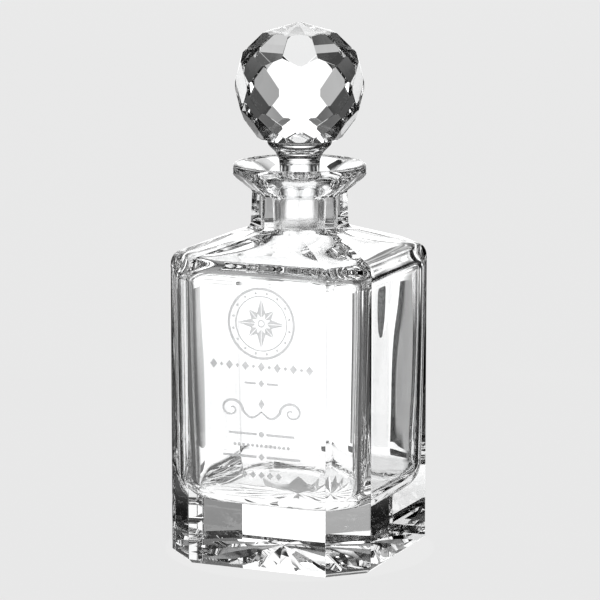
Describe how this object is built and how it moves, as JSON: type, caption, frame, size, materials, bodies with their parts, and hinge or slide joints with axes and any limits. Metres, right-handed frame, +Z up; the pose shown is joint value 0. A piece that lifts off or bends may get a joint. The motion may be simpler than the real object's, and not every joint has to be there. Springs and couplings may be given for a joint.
{
  "type": "cut glass decanter",
  "caption": "Square cut-glass spirit decanter with cut corners, star-cut base and a faceted ball stopper ground into its neck.",
  "frame": {"origin": "centre of the square footprint, on the flat foot the bottle stands on", "axes": "+Z up along the bottle, neck and stopper axis, which is the lift-out direction; -Y is the front face with the etched panel; +X to the right of it"},
  "size_m": [0.095, 0.095, 0.2348],
  "materials": {
    "bottle_crystal": "polished clear crystal",
    "stopper_crystal": "polished clear crystal, satin ground plug"
  },
  "bodies": {
    "bottle": {"bottle": "bottle_crystal"},
    "stopper": {"stopper": "stopper_crystal"}
  },
  "joints": [
    {"name": "stopper_lift", "type": "slide", "parent": "bottle", "child": "stopper", "axis": [0, 0, 1], "range_m": [0, 0.05]}
  ]
}
